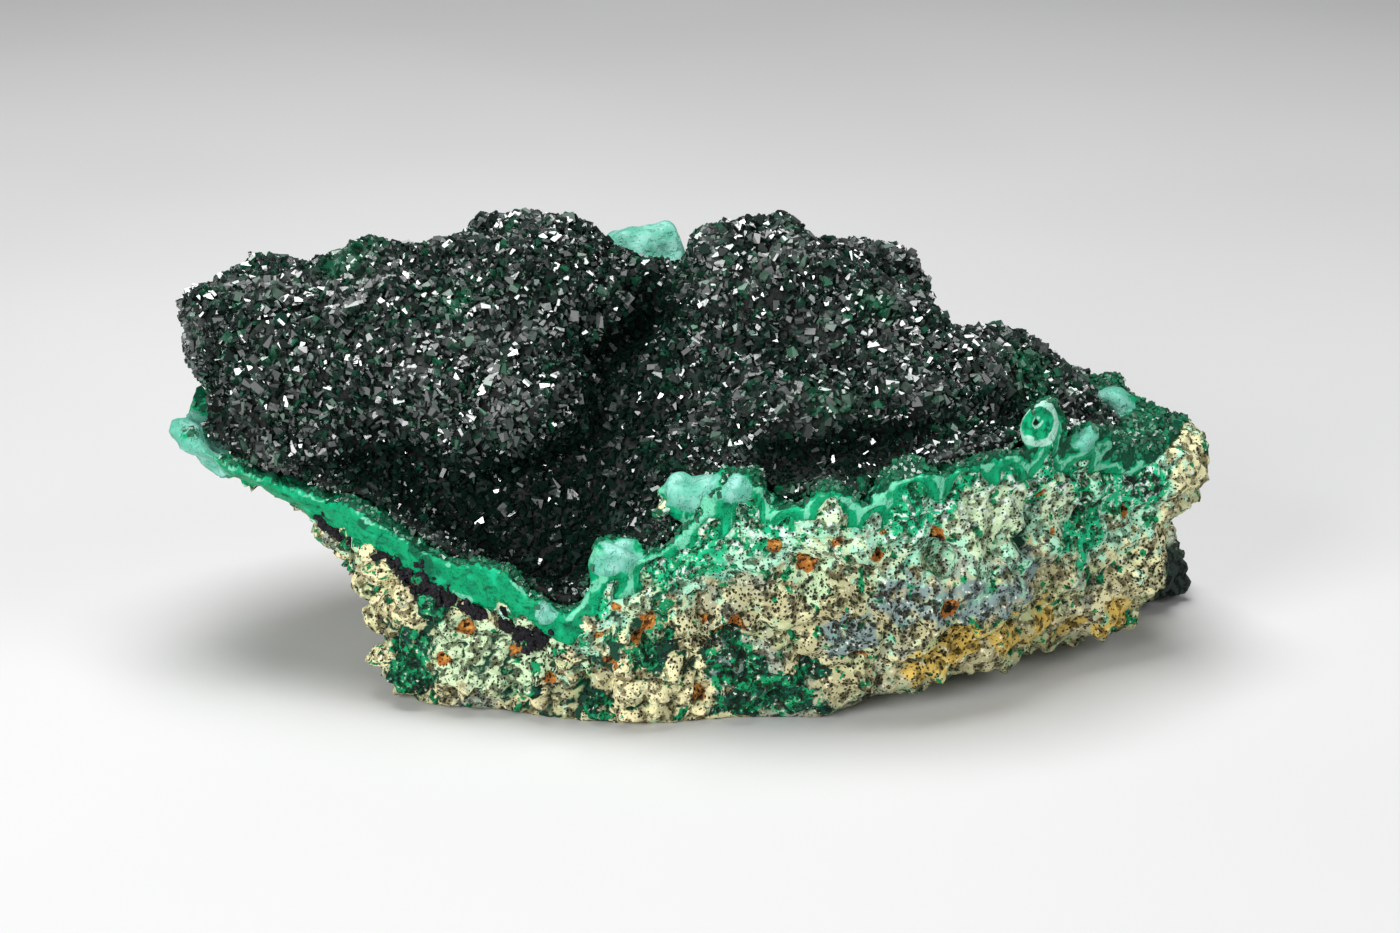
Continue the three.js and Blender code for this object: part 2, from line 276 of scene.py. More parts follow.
def layer_share(tree, place, layer):
    """Where a layer shows: its noise, with the distance to its dots, raised by its mask, past its level."""
    scale = 1 / (layer["size"] * MM)
    sockets = {"Vector": place, "Scale": scale, "Detail": layer["detail"]}
    height = add_node(tree, "ShaderNodeTexNoise", sockets).outputs["Fac"]
    if "dots" in layer:
        sockets = {"Vector": place, "Scale": layer["dots"] * scale, "Detail": 0.0}
        dots = add_node(tree, "ShaderNodeTexVoronoi", sockets).outputs["Distance"]
        ragged = {0: height, 1: DOT_RAGGEDNESS, 2: dots}
        height = add_node(tree, "ShaderNodeMath", ragged, operation="MULTIPLY_ADD").outputs[0]
    if "mask" in layer:
        mask = add_node(tree, "ShaderNodeAttribute", attribute_name=layer["mask"])
        raised = {0: mask.outputs["Fac"], 1: layer["reach"], 2: height}
        height = add_node(tree, "ShaderNodeMath", raised, operation="MULTIPLY_ADD").outputs[0]
    levels = {"Value": height, "From Min": layer["level"][0], "From Max": layer["level"][1]}
    return add_node(tree, "ShaderNodeMapRange", levels, interpolation_type="SMOOTHSTEP").outputs[0]


def layered_colour(tree, place, colour, layers):
    """Lays the colours of layers over one another, each where it shows."""
    for layer in layers:
        share = layer_share(tree, place, layer)
        sockets = {MIX_SHARE: share, MIX_UNDER: colour, MIX_OVER: linear(layer["colour"])}
        laid = add_node(tree, "ShaderNodeMix", sockets, data_type="RGBA", blend_type=layer["blend"])
        colour = laid.outputs[MIX_RESULT]
    return colour


def finish_material(tree, colour, roughness, height, depth, ior=1.5, shine=0.25):
    """The shader that the patterns end in, with its fine relief as a bump."""
    bump = add_node(tree, "ShaderNodeBump", {"Height": height, "Strength": 1.0, "Distance": depth})
    shader = add_node(
        tree,
        "ShaderNodeBsdfPrincipled",
        {
            "Base Color": colour,
            "Roughness": roughness,
            "IOR": ior,
            "Specular IOR Level": shine,
            "Normal": bump.outputs["Normal"],
        },
    )
    add_node(tree, "ShaderNodeOutputMaterial", {"Surface": shader.outputs["BSDF"]})


def grainy_material(name, colour, layer, roughness, grain, depth):
    """A material in two colours, with an even grain of a width and a depth as its fine relief."""
    material, tree, place = new_material(name)
    colour = layered_colour(tree, place, colour, [layer])
    relief = add_node(tree, "ShaderNodeTexNoise", {"Vector": place, "Scale": 1 / grain})
    finish_material(tree, colour, roughness, relief.outputs["Fac"], depth)
    return material


def smoothstep(low, high, values):
    """Eases from 0 at low to 1 at high."""
    share = np.clip((values - low) / (high - low), 0, 1)
    return share * share * (3 - 2 * share)


def plateau(start, full, fade, end, values):
    """Eases from 0 at start to 1 at full, and from 1 at fade to 0 at end."""
    return smoothstep(start, full, values) * (1 - smoothstep(fade, end, values))


def fractal(places, size, octaves, seed):
    """Noise from about -1 to 1 whose coarsest waves have a size in metres."""
    points = (places / size + seed * SEED_STEP).tolist()
    return np.array([noise.fractal(point, NOISE_FALL, NOISE_STEP, octaves) for point in points])


def fractal_vectors(places, size, octaves, seed):
    """Three such noises for each place, as a direction."""
    return np.stack([fractal(places, size, octaves, seed + axis) for axis in range(3)], axis=1)


def cell_distance(places, size, seed):
    """Distance to the nearest of points strewn about a size apart, as a share of that size."""
    points = (places / size + seed * SEED_STEP).tolist()
    return np.array([noise.voronoi(point)[0][0] for point in points])


def grain_cells(places, size, seed):
    """Grains about a size apart: how far inside its grain each place is, and its lot from 0 to 1."""
    inside = []
    lots = []
    for point in (places / size + seed * SEED_STEP).tolist():
        apart, middles = noise.voronoi(point)
        inside.append(apart[1] - apart[0])
        lots.append(0.5 + 0.5 * noise.cell(middles[0] * LOT_STEP))
    return np.array(inside), np.array(lots)


def camera_axes():
    """Where the camera stands, and its forward, right and up directions."""
    back = Vector((0, -math.cos(CAMERA_ELEVATION), math.sin(CAMERA_ELEVATION)))
    right = Vector((1, 0, 0))
    return CAMERA_TARGET + back * CAMERA_DISTANCE, -back, right, back.cross(right)


def photo_hit(tree, across, down):
    """The place on a surface that the photograph shows at a pixel."""
    eye, forward, right, up = camera_axes()
    aim = forward * FOCAL_PIXELS
    aim += right * (across - PHOTO_WIDTH / 2) - up * (down - PHOTO_HEIGHT / 2)
    place = tree.ray_cast(eye, aim.normalized())[0]
    if place is None:
        raise RuntimeError(f"nothing at pixel {across}, {down}")
    return np.array(place)


def surface_tree(*names, wanted=lambda normal: True):
    """A search tree of those faces of some solids that look the wanted way."""
    corners = []
    faces = []
    for name in names:
        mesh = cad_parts[name].data
        first = len(corners)
        corners += [vertex.co for vertex in mesh.vertices]
        faces += [[first + i for i in face.vertices] for face in mesh.polygons if wanted(face.normal)]
    return BVHTree.FromPolygons(corners, faces)


def crust_edge():
    """A search tree of the crust's steep edge."""
    return surface_tree("malachite_crust", wanted=lambda normal: abs(normal.z) < EDGE_FACING)


def distance_to(tree, places):
    """Distance from each place to a surface."""
    return np.array([tree.find_nearest(point)[3] for point in places.tolist()])


def patch_share(places, tree, patches):
    """How deep places lie in their nearest round patch: 1 in its middle, 0 at its edge, less outside."""
    share = np.full(len(places), -1.0)
    for across, down, radius in patches:
        apart = np.linalg.norm(places - photo_hit(tree, across, down), axis=1)
        share = np.maximum(share, 1 - apart / (radius * MM))
    return share


def place_arrays(mesh):
    """Places and normals of a mesh's vertices."""
    places = np.empty(len(mesh.vertices) * 3, np.float32)
    normals = np.empty_like(places)
    mesh.vertices.foreach_get("co", places)
    mesh.vertices.foreach_get("normal", normals)
    return places.reshape(-1, 3).astype(float), normals.reshape(-1, 3).astype(float)


def raise_surface(mesh, places, normals, height):
    """Moves each vertex out along its normal, and none below the floor."""
    raised = places + normals * height[:, None]
    raised[:, 2] = np.maximum(raised[:, 2], 0)
    mesh.vertices.foreach_set("co", raised.astype(np.float32).ravel())
    mesh.update()


def set_attribute(mesh, name, values):
    """Stores one number for each vertex, which a material reads by name."""
    layer = mesh.attributes.new(name, "FLOAT", "POINT")
    layer.data.foreach_set("value", np.asarray(values, np.float32))


def shade_smooth(mesh):
    """Shades all faces of a mesh as one round surface."""
    mesh.polygons.foreach_set("use_smooth", np.ones(len(mesh.polygons), bool))


def new_piece(name, mesh, material):
    """An object of the specimen at the origin, which rides with the rock."""
    mesh.materials.clear()
    mesh.materials.append(material)
    piece = bpy.data.objects.new(name, mesh)
    bpy.context.scene.collection.objects.link(piece)
    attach(piece, "root")
    return piece


def worn_copy(node, grid, rounds):
    """A copy of a solid's mesh, merged, laid on an even grid and worn smooth."""
    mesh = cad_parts[node].data.copy()
    merged = bmesh.new()
    merged.from_mesh(mesh)
    bmesh.ops.remove_doubles(merged, verts=merged.verts, dist=MERGE_DISTANCE)
    merged.to_mesh(mesh)
    merged.free()
    model = bpy.data.objects.new(node + "_model", mesh)
    bpy.context.scene.collection.objects.link(model)
    remesh = model.modifiers.new("grid", "REMESH")
    remesh.mode = "VOXEL"
    remesh.voxel_size = grid
    wear = model.modifiers.new("wear", "SMOOTH")
    wear.factor = 0.5
    wear.iterations = rounds
    evaluated = model.evaluated_get(bpy.context.evaluated_depsgraph_get())
    worn = bpy.data.meshes.new_from_object(evaluated)
    bpy.data.objects.remove(model)
    shade_smooth(worn)
    return worn


PORES = coat("38382c", 1.2, (0.74, 0.58), mask="porous", reach=-0.12, detail=4.0, dots=2.4)
# Gaps between grains: sunk in the bump, and darkened by multiplying as painted shade.
SHADED_GAPS = coat("9c9680", 1.2, (0.5, 0.3), detail=6.0, blend="MULTIPLY")
ROCK_LAYERS = [
    # Grey, yellow-green and sandy minerals in broad patches.
    coat("a0a896", 11, (0.48, 0.64), detail=5.0),
    coat("c2cf98", 7, (0.5, 0.62), detail=5.0),
    coat("e2dbaa", 4, (0.52, 0.62), detail=5.0),
    # Stains, with cream grains between them.
    coat("f2edb8", 2.2, (0.7, 0.86), mask="cream", reach=0.5, detail=4.0),
    coat("7f9492", 1.8, (0.74, 0.96), mask="slate", reach=0.46, detail=5.0),
    coat("dbba5c", 2, (0.68, 0.92), mask="ochre", reach=0.46, detail=5.0),
    coat("6fd6b4", 3, (0.6, 0.78), mask="turquoise", reach=0.42, detail=5.0),
    coat("aee9c8", 2, (0.6, 0.76), mask="near_crust", reach=0.36, detail=5.0),
    coat("f0e6b4", 1.5, (0.98, 1.1), mask="grain", reach=1.0),
    coat("0fa46c", 2.2, (0.8, 0.88), mask="near_crust", reach=0.36, detail=4.0),
    coat("1cbd84", 2.4, (0.8, 0.92), mask="emerald", reach=0.5, detail=5.0),
    coat("0a4232", 3, (0.8, 0.88), mask="deep_green", reach=0.44, detail=5.0),
    coat("0f9560", 1.3, (0.9, 1.0), mask="deep_green", reach=0.44, detail=4.0),
    coat("cfe8bc", 2.2, (0.75, 0.88), mask="pale", reach=0.5, detail=5.0),
    # Specks of malachite, green grains, white specks, and painted shade between grains and in deep
    # crevices.
    coat("128f5b", 2.2, (0.6, 0.64), detail=4.0),
    coat("0f8454", 1.2, (1.32, 1.4), mask="grain", reach=1.0),
    coat("e4f8ee", 0.9, (0.86, 0.98), mask="near_crust", reach=0.36),
    coat("f4f0da", 0.6, (0.61, 0.75)),
    coat("14402f", 1.2, (0.94, 1.2), mask="crevice_shade", reach=0.7),
    coat("2f3e37", 2, (0.7, 0.95), mask="shaded", reach=0.7),
    # Rusty vugs, yellower further in, with dark middles.
    coat("b26e2e", 1.0, (0.8, 1.0), mask="vug", reach=0.9),
    coat("dca654", 0.7, (1.14, 1.34), mask="vug", reach=0.8),
    coat("32190b", 0.9, (1.4, 1.5), mask="vug", reach=0.95),
    SHADED_GAPS,
    PORES,
]


def porous_height(tree, place):
    """Granular relief with sunken gaps and pores, for the bump of broken rock."""
    drop = {0: layer_share(tree, place, PORES), 1: PORE_DROP, 2: layer_share(tree, place, SHADED_GAPS)}
    depth = add_node(tree, "ShaderNodeMath", drop, operation="MULTIPLY_ADD").outputs[0]
    return add_node(tree, "ShaderNodeMath", {0: 1.0, 1: depth}, operation="SUBTRACT").outputs[0]


def rock_material(settings):
    """Limonitic gossan, broken: dull and granular, peppered with pores and stained by copper."""
    material, tree, place = new_material("porous_limonite_rock")
    colour = layered_colour(tree, place, tuple(settings.groundmass), ROCK_LAYERS)
    finish_material(tree, colour, ROCK_ROUGHNESS, porous_height(tree, place), ROCK_BUMP)
    return material


def broken_relief(places, settings):
    """Height of the broken surface, its painted shade in gaps and deep crevices, and its grain's lot.

    The grit is coarse on the left and low on the right.
    """
    bent = places + settings.bend * fractal_vectors(places, *GRIT_BENDS)
    along = places[:, 0] + GRIT_WANDER * fractal(places, *GRIT_LIMIT)
    coarse = 1 - smoothstep(*COARSE_GRIT_END, along)
    inside, lots = grain_cells(bent, settings.grit_size, seed=2)
    grit = smoothstep(0, 0.4, inside) * (0.4 + 0.6 * lots) - 0.5
    lumps = LUMP_RISE - cell_distance(bent, settings.lump_size, seed=1) ** 2
    pits = 1 - smoothstep(0.15, 0.5, cell_distance(bent, settings.pit_spacing, seed=3))
    height = lumps * settings.lump_height - pits * settings.pit_depth
    height += grit * settings.grit_height * (0.3 + 0.7 * coarse)
    height += settings.crumble_height * fractal(places, *CRUMBS)
    gap = (1 - smoothstep(0.03, 0.2, inside)) * coarse
    # Painted shade: darker between coarse grains and where the relief sinks deep.
    crevice_shade = np.maximum(gap, smoothstep(*CREVICE_SHADE_DEPTHS, -height))
    return height + settings.wave_height * fractal(places, *ROCK_SWELLS), crevice_shade, lots * coarse


def closed_seam(height, apart):
    """Relief raised beside the neighbouring solid, so that no gap opens between the two."""
    return np.maximum(height, SEAM_RISE - SEAM_SLOPE * apart)


def set_stains(mesh, places, apart, reach):
    """The rock's colour zones as attributes, with broken edges; copper's reaches furthest on the right."""
    solid = surface_tree("host_rock", "malachite_crust")
    broken = 0.6 * fractal(places, *STAIN_EDGES)
    for name, patches in STAINS.items():
        share = patch_share(places, solid, patches) + broken
        set_attribute(mesh, name, smoothstep(-0.3, 0.6, share))
    along = places[:, 0]
    spread = 0.45 + 0.55 * smoothstep(*COPPER_SPREAD, along)
    strength = 0.55 + 0.45 * smoothstep(*COPPER_START, along) - 0.8 * smoothstep(*COPPER_END, along)
    near = strength * (1 - smoothstep(0.03, 1, apart / (reach * spread)))
    set_attribute(mesh, "near_crust", np.clip(near * (1 + 0.4 * broken), 0, 1))


def make_host_rock(settings):
    """The broken rock, roughened, with pores, vugs and the stains that its colours follow."""
    mesh = worn_copy("host_rock", settings.grid, rounds=3)
    places, normals = place_arrays(mesh)
    apart = distance_to(surface_tree("malachite_crust"), places)
    vug = patch_share(places, surface_tree("host_rock"), VUGS) + 0.5 * fractal(places, *VUG_EDGES)
    height, crevice_shade, grain = broken_relief(places, settings)
    height -= smoothstep(0, 0.8, vug) * settings.vug_depth
    height *= smoothstep(*FOOT_FADE, places[:, 2])
    set_attribute(mesh, "grain", grain)
    # Painted shade in gaps and crevices, kept off the seam with the crust.
    set_attribute(mesh, "crevice_shade", crevice_shade * smoothstep(0.5 * MM, 1.5 * MM, apart))
    set_attribute(mesh, "vug", smoothstep(-0.1, 0.7, vug))
    set_stains(mesh, places, apart, settings.stain_reach)
    raise_surface(mesh, places, normals, closed_seam(height, apart))
    piece = new_piece("host_rock_surface", mesh, rock_material(settings))
    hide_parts("host_rock")


def oxide_material():
    """Manganese oxide, grown as tiny black grapes: dark purple-black with a dull gloss."""
    purple = coat("2b2631", 1.2, (0.5, 0.75))
    black = linear("110e14")
    return grainy_material(
        "botryoidal_manganese_oxide", black, purple, roughness=0.6, grain=0.4 * MM, depth=0.3 * MM
    )


def make_oxide_nodules(settings):
    """A seam of small black nodules along the lower edge of the crust."""
    rng = np.random.default_rng(settings.seed)
    rock = surface_tree("host_rock", "malachite_crust")
    seam = np.array([photo_hit(rock, *spot) for spot in OXIDE_PATH])
    nodules = bmesh.new()
    for _ in range(settings.count):
        along = rng.uniform(0, len(seam) - 1)
        start = int(along)
        middle = seam[start] + (seam[start + 1] - seam[start]) * (along - start)
        swelling = 0.1 + 3.4 * abs(noise.noise(Vector(middle) / SEAM_SWELLS))
        if swelling < THINNEST_SEAM:
            continue
        place = middle + rng.normal(0, settings.spread / 2, 3) * swelling
        place = rock.find_nearest(place.tolist())[0]
        ball = bmesh.ops.create_icosphere(nodules, subdivisions=1, radius=settings.radius)
        growth = rng.uniform(0.4, 1.5)
        bmesh.ops.scale(nodules, verts=ball["verts"], vec=Vector(rng.uniform(0.7, 1.4, 3)) * growth)
        bmesh.ops.translate(nodules, verts=ball["verts"], vec=Vector(place))
    mesh = bpy.data.meshes.new("oxide_nodules")
    nodules.to_mesh(mesh)
    nodules.free()
    places, normals = place_arrays(mesh)
    raise_surface(mesh, places, normals, 0.6 * settings.radius * fractal(places, *NODULE_LUMPS))
    shade_smooth(mesh)
    new_piece("oxide_nodules", mesh, oxide_material())


BAND_LAYERS = [
    # Black oxide under the band, then the band in three greens, its growth lines and its pale lines.
    coat("131017", 0.9, (0.85, 0.95), mask="oxide", reach=0.6),
    coat("029a66", 1.0, (0.95, 1.05), mask="band", reach=1.0),
    coat("04694a", 4, (1.5, 1.74), mask="band", reach=1.0, detail=4.0),
    coat("10b884", 2.4, (1.54, 1.72), mask="band", reach=1.0, detail=4.0),
    coat("045f41", 2, (0.9, 1.2), mask="growth", reach=0.6),
    coat("6fcba6", 2, (0.94, 1.2), mask="skin", reach=0.8),
    # The dark top with brighter specks, and the pale domes and rings.
    coat("0b4a33", 0.9, (0.8, 1.0), mask="top_side", reach=0.6),
    coat("1f9468", 1.1, (1.16, 1.26), mask="top_side", reach=0.6),
    coat("5fb098", 1.6, (0.75, 0.95), mask="mint", reach=0.6),
    coat("90cfc0", 2.6, (1.0, 1.3), mask="mint", reach=0.6),
    coat("a6dcc6", 1.6, (0.95, 1.15), mask="ring", reach=0.8),
    coat("0b1512", 1.0, (0.9, 1.1), mask="hole", reach=1.0),
]


def crust_material(rock):
    """Botryoidal malachite, broken across: satin green layers that run out into stained rock."""
    material, tree, place = new_material("banded_malachite")
    colour = layered_colour(tree, place, tuple(rock.groundmass), ROCK_LAYERS + BAND_LAYERS)
    band = add_node(tree, "ShaderNodeAttribute", attribute_name="band").outputs["Fac"]
    satin = {0: band, 1: BAND_ROUGHNESS - ROCK_ROUGHNESS, 2: ROCK_ROUGHNESS}
    roughness = add_node(tree, "ShaderNodeMath", satin, operation="MULTIPLY_ADD").outputs[0]
    filled = {0: band, 1: BAND_RELIEF - 1.0, 2: 1.0}
    porous = add_node(tree, "ShaderNodeMath", filled, operation="MULTIPLY_ADD").outputs[0]
    relief = {0: porous_height(tree, place), 1: porous}
    height = add_node(tree, "ShaderNodeMath", relief, operation="MULTIPLY").outputs[0]
    finish_material(tree, colour, roughness, height, ROCK_BUMP, ior=1.7, shine=0.08)
    return material


def arch_distance(across, below, settings):
    """Distance from the middle of the nearest arch of layers, as a share of the arch's radius."""
    rng = np.random.default_rng(settings.seed)
    share = np.full(len(across), np.inf)
    reached = ARCHES_START
    while reached < CAD_HIGH[0]:
        radius = settings.arch_width * rng.uniform(*ARCH_RADII)
        step = ARCH_STEP * radius
        share = np.minimum(share, np.hypot(across - reached - step / 2, below) / radius)
        reached += step
    return share


def band_layout(places, left, ripple, lobes, settings):
    """Depth under the crust's top, distance past the band's lower edge, and share of an arch's radius."""
    top = surface_tree("malachite_crust", wanted=lambda normal: normal.z > TOP_FACING)
    depth = distance_to(top, places)
    thickness = settings.right_band + (settings.left_band - settings.right_band) * left
    thickness += settings.end_band * smoothstep(*END_BAND_START, places[:, 0])
    ragged = ripple * 0.7 - lobes * 1.2 + 1.6 * fractal(places, *BAND_EDGE)
    arch = arch_distance(places[:, 0], depth - thickness, settings) + 0.12 * ripple
    return depth, depth - thickness + ragged * MM, arch


def make_malachite_crust(settings, rock):
    """The green crust, with rounded lobes on its broken edge and pale skin on its top."""
    solid = surface_tree("malachite_crust")
    mesh = worn_copy("malachite_crust", settings.grid, rounds=3)
    places, normals = place_arrays(mesh)
    ripple = fractal(places, *RIPPLES)
    lobes = LOBE_RISE - cell_distance(places, settings.lobe_size, seed=6) ** 2
    upward = smoothstep(0.5, 0.8, normals[:, 2])
    left = 1 - smoothstep(*PLAIN_BAND_END, places[:, 0])
    depth, edge, arch = band_layout(places, left, ripple, lobes, settings)

    # Pale domes, dark folds and the ringed knob.
    domes = smoothstep(-0.1, 0.25, patch_share(places, solid, MINT_DOMES) + 0.25 * ripple)
    folds = smoothstep(0, 0.4, patch_share(places, solid, FOLDS) + 0.2 * ripple)
    apart = np.linalg.norm(places - photo_hit(solid, *RING_KNOB), axis=1) + 0.3 * MM * ripple
    knob = 1 - smoothstep(*KNOB_RADII, apart)
    rings = np.maximum(plateau(*RING_RADII, apart), plateau(*RIM_RADII, apart))
    mint = np.maximum(domes, rings)
    plain = (1 - mint) * (1 - knob)

    # The green band: its arches, growth layers, pale upper line and the seam under it.
    ribbon = (1 - smoothstep(-0.5 * MM, 0.5 * MM, edge)) * np.maximum(left, smoothstep(0.34, 0.56, arch))
    band = np.maximum(ribbon, np.maximum(mint, knob))
    outlines = band * (1 - left) * plateau(0.74, 0.86, 0.98, 1.08, arch)
    cusps = band * (1 - left) * smoothstep(1.0, 1.12, arch)
    layers = left * depth + (1 - left) * arch * settings.arch_width / 2
    layers += knob * (apart - layers)
    growth = 0.5 + 0.5 * np.sin(2 * math.pi * (layers / settings.growth_step) + 2 * ripple)
    pale_line = 1 - smoothstep(0.2 * MM, 0.9 * MM, depth + ripple * 0.3 * MM)
    seam = (1 - smoothstep(0.4 * MM, 1.8 * MM, edge + ripple * MM)) * (1 - band)

    # Zones that the colours follow, with those of the rock below the band.
    rough, crevice_shade, grain = broken_relief(places, rock)
    set_stains(mesh, places, np.zeros(len(places)), rock.stain_reach)
    zones = {
        # Painted shade in the rock's gaps and crevices, off the band.
        "grain": grain * (1 - band),
        "crevice_shade": crevice_shade * (1 - band),
        "oxide": left * seam * smoothstep(-0.2, 0.2, fractal(places, *SEAM_BREAKS)),
        "band": band,
        "growth": np.maximum(growth * (1 - upward), 1.6 * folds) * band,
        "skin": np.maximum(pale_line, outlines) * (1 - upward) * (1 - knob),
        "top_side": np.maximum(upward, cusps) * plain,
        "mint": mint,
        "ring": rings,
        "hole": 1 - smoothstep(*HOLE_RADII, apart),
    }
    for name, share in zones.items():
        set_attribute(mesh, name, share)

    # The relief: lobes and ripples on the band, rough rock below it, uneven domes and top.
    height = settings.swell + band * (lobes * settings.lobe_height + ripple * settings.ripple_height)
    height += (1 - band) * rough + domes * settings.dome_height * fractal(places, *DOME_LUMPS)
    height += upward * plain * settings.top_height * fractal(places, *TOP_LUMPS)
    height -= 0.5 * settings.lobe_height * cusps * plain
    height -= settings.ring_dent * (1 - smoothstep(*DENT_RADII, apart))
    height = closed_seam(height, distance_to(surface_tree("host_rock"), places))
    raise_surface(mesh, places, normals, height)
    piece = new_piece("malachite_crust_surface", mesh, crust_material(rock))
    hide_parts("malachite_crust")


def ground_material():
    """Fine dark malachite between the crystals: nearly black, dull."""
    green = coat("0f2a1f", 3, (0.5, 0.7))
    black = linear("060b08")
    return grainy_material(
        "dark_malachite_ground", black, green, roughness=0.6, grain=0.7 * MM, depth=0.3 * MM
    )


def crystal_material(settings):
    """Malachite crystals after azurite: glassy flat faces, nearly black, with some green glints."""
    material, tree, place = new_material("drusy_malachite_crystal")
    tint = add_node(tree, "ShaderNodeAttribute", attribute_name="tint").outputs["Fac"]
    sockets = {MIX_SHARE: tint, MIX_UNDER: tuple(settings.dark), MIX_OVER: tuple(settings.green)}
    colour = add_node(tree, "ShaderNodeMix", sockets, data_type="RGBA").outputs[MIX_RESULT]
    dull = add_node(tree, "ShaderNodeAttribute", attribute_name="dull").outputs["Fac"]
    gloss = add_node(tree, "ShaderNodeAttribute", attribute_name="gloss").outputs["Fac"]
    grain = add_node(tree, "ShaderNodeTexNoise", {"Vector": place, "Scale": 1 / (0.6 * MM)})
    height = grain.outputs["Fac"]
    finish_material(tree, colour, dull, height, depth=0.02 * MM, ior=settings.ior, shine=gloss)
    return material


def make_druse_ground(settings):
    """The dark lumps that the crystals stand on, kept in by the crystals' height."""
    mesh = worn_copy("crystal_druse", settings.grid, rounds=8)
    places, normals = place_arrays(mesh)
    bent = places + CLUSTER_BEND * fractal_vectors(places, *CLUSTER_BENDS)
    lumps = LUMP_RISE - cell_distance(bent, settings.lump_size, seed=8) ** 2
    upward = smoothstep(-0.5, 0.1, normals[:, 2])
    thick = smoothstep(2 * MM, 6 * MM, distance_to(surface_tree("malachite_crust"), places))
    worn = smoothstep(0, 0.7, patch_share(places, surface_tree("crystal_druse"), WORN_DRUSE))
    height = thick * lumps * settings.lump_height - (0.3 + 0.7 * thick) * settings.crystal_stand
    height -= worn * settings.worn_depth
    raise_surface(mesh, places, normals, upward * height)
    piece = new_piece("druse_ground", mesh, ground_material())
    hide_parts("crystal_druse")


def crystal_forms(rng, count):
    """Blocky crystals one unit long: cubes, each with a slanting cut across its upper end."""
    forms = []
    for _ in range(count):
        form = bmesh.new()
        bmesh.ops.create_cube(form, size=1.0)
        facing = Vector((rng.uniform(-1, 1), rng.uniform(-1, 1), rng.uniform(0.5, 1.6))).normalized()
        plane = facing * rng.uniform(0.4, 0.52)
        parts = form.verts[:] + form.edges[:] + form.faces[:]
        cut = bmesh.ops.bisect_plane(form, geom=parts, plane_co=plane, plane_no=facing, clear_outer=True)
        rim = [part for part in cut["geom_cut"] if isinstance(part, bmesh.types.BMEdge)]
        if rim:
            bmesh.ops.contextual_create(form, geom=rim)
        bmesh.ops.recalc_face_normals(form, faces=form.faces)
        bmesh.ops.triangulate(form, faces=form.faces)
        form.verts.index_update()
        corners = np.array([vertex.co for vertex in form.verts])
        faces = np.array([[vertex.index for vertex in face.verts] for face in form.faces])
        forms.append((corners, faces))
        form.free()
    return forms


def strewn_points(mesh, rng, count, wanted):
    """Random places and normals on the wanted faces of a mesh, even by area."""
    mesh.calc_loop_triangles()
    places, _ = place_arrays(mesh)
    corners = np.empty(len(mesh.loop_triangles) * 3, np.int32)
    mesh.loop_triangles.foreach_get("vertices", corners)
    triangles = places[corners.reshape(-1, 3)]
    across = np.cross(triangles[:, 1] - triangles[:, 0], triangles[:, 2] - triangles[:, 0])
    area = np.linalg.norm(across, axis=1)
    normals = across / np.maximum(area, SMALLEST_AREA)[:, None]
    area = area * wanted(triangles.mean(axis=1), normals)
    chosen = rng.choice(len(area), count, p=area / area.sum())
    first = rng.random(count)
    second = rng.random(count)
    folded = first + second > 1
    first[folded] = 1 - first[folded]
    second[folded] = 1 - second[folded]
    corner, one, two = triangles[chosen].transpose(1, 0, 2)
    return corner + (one - corner) * first[:, None] + (two - corner) * second[:, None], normals[chosen]


def crystal_frames(places, normals, rng, settings):
    """One turned frame for each crystal: neighbours lean alike, and each a little its own way."""
    shared = fractal_vectors(places, settings.sheaf_size, octaves=1, seed=31)
    upward = normals + settings.sheaf_lean * shared + rng.normal(0, settings.lean, normals.shape)
    upward /= np.linalg.norm(upward, axis=1)[:, None]
    sideways = np.cross(upward, rng.normal(size=upward.shape))
    sideways /= np.linalg.norm(sideways, axis=1)[:, None]
    return np.stack([sideways, np.cross(upward, sideways), upward], axis=2)


def sheltered(tree, places, normals, rng):
    """Share of the directions out of each place that other lumps close off nearby."""
    starts = (places + normals * SHELTER_LIFT).tolist()
    shelter_shade = np.zeros(len(places))
    for _ in range(SHELTER_RAYS):
        aims = normals + rng.normal(0, SHELTER_SPREAD, normals.shape)
        hits = [tree.ray_cast(*ray, SHELTER_REACH)[0] for ray in zip(starts, aims.tolist())]
        shelter_shade += [hit is not None for hit in hits]
    return shelter_shade / SHELTER_RAYS


def joined_crystals(name, forms, places, frames, sizes, looks, material):
    """All crystals of one group as one mesh, each a turned and stretched copy of a form."""
    corners = []
    faces = []
    owners = []
    first = 0
    for turn, (form_corners, form_faces) in enumerate(forms):
        own = np.arange(turn, len(places), len(forms))
        stretched = form_corners[None] * sizes[own][:, None]
        grown = np.einsum("nij,nvj->nvi", frames[own], stretched) + places[own][:, None]
        start = first + np.arange(len(own)) * len(form_corners)
        corners.append(grown.reshape(-1, 3))
        faces.append((form_faces[None] + start[:, None, None]).reshape(-1, 3))
        owners.append(np.repeat(own, len(form_corners)))
        first += len(own) * len(form_corners)
    mesh = bpy.data.meshes.new(name)
    mesh.from_pydata(np.concatenate(corners).tolist(), [], np.concatenate(faces).tolist())
    for look, values in looks.items():
        set_attribute(mesh, look, values[np.concatenate(owners)])
    new_piece(name, mesh, material)


def crystal_sizes(rng, usual, from_edge, shelter_shade, larger):
    """Each crystal's size, and its width, thickness and height; small near the rim and in sheltered places.
    """
    count = len(from_edge)
    size = usual * rng.lognormal(0, SIZE_SPREAD, count)
    size *= 0.55 + 0.45 * smoothstep(*RIM_GROWTH, from_edge)
    size = np.minimum(size, usual * LARGEST) * (1 - 0.3 * shelter_shade) * (1 + 0.5 * larger)
    width = size * rng.uniform(*WIDTHS, count)
    thickness = size * rng.uniform(*THICKNESSES, count)
    height = np.minimum(size * CRYSTAL_HEIGHT, usual * LARGEST)
    return size, np.stack([width, thickness, height], axis=1)


